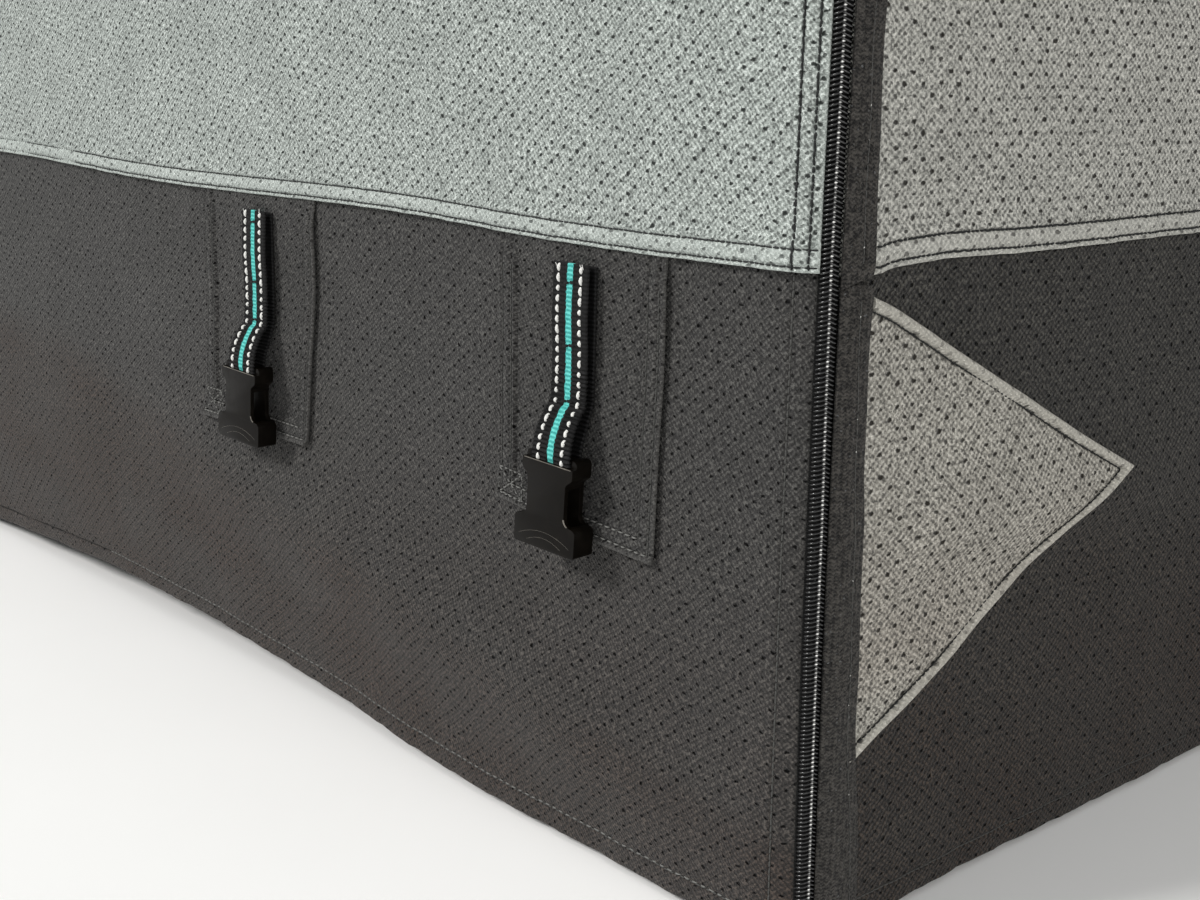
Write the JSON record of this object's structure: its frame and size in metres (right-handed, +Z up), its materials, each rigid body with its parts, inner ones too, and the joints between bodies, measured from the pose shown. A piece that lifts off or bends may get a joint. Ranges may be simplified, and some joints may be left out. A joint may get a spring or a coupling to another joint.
{
  "type": "camper cover",
  "caption": "Fitted cloth cover for a folding camper: light roof and walls over a dark lower band, a zipped corner, and webbing straps on stitched patches that end in buckle sockets.",
  "frame": {"origin": "on the plane of the lowest hem, under the middle of the cover", "axes": "+X across the cover towards the side with the zip, +Y along it from the front with the straps to the rear, +Z up"},
  "size_m": [2.1778, 3.0794, 1.076],
  "materials": {
    "light_cloth": "matt needled polypropylene cloth, light grey, dimpled",
    "dark_cloth": "matt needled polypropylene cloth, charcoal, dimpled",
    "zip_tape": "ribbed woven zip tape",
    "zip_coil": "shiny black nylon coil",
    "webbing": "woven webbing, black with a teal middle stripe and white dashes",
    "buckle_plastic": "satin black moulded acetal"
  },
  "bodies": {
    "root": {"front_upper_panel": "light_cloth", "front_lower_band": "dark_cloth", "right_upper_panel": "light_cloth", "right_lower_band": "dark_cloth", "rear_upper_panel": "light_cloth", "rear_lower_band": "dark_cloth", "left_upper_panel": "light_cloth", "left_lower_band": "dark_cloth", "roof_panel": "light_cloth", "side_triangle": "light_cloth", "zip_coil": "zip_coil", "zip_tape_upper": "zip_tape", "zip_tape_lower": "zip_tape", "strap_patch_near": "dark_cloth", "strap_near": "webbing", "buckle_near": "buckle_plastic", "strap_patch_far": "dark_cloth", "strap_far": "webbing", "buckle_far": "buckle_plastic"}
  },
  "joints": []
}
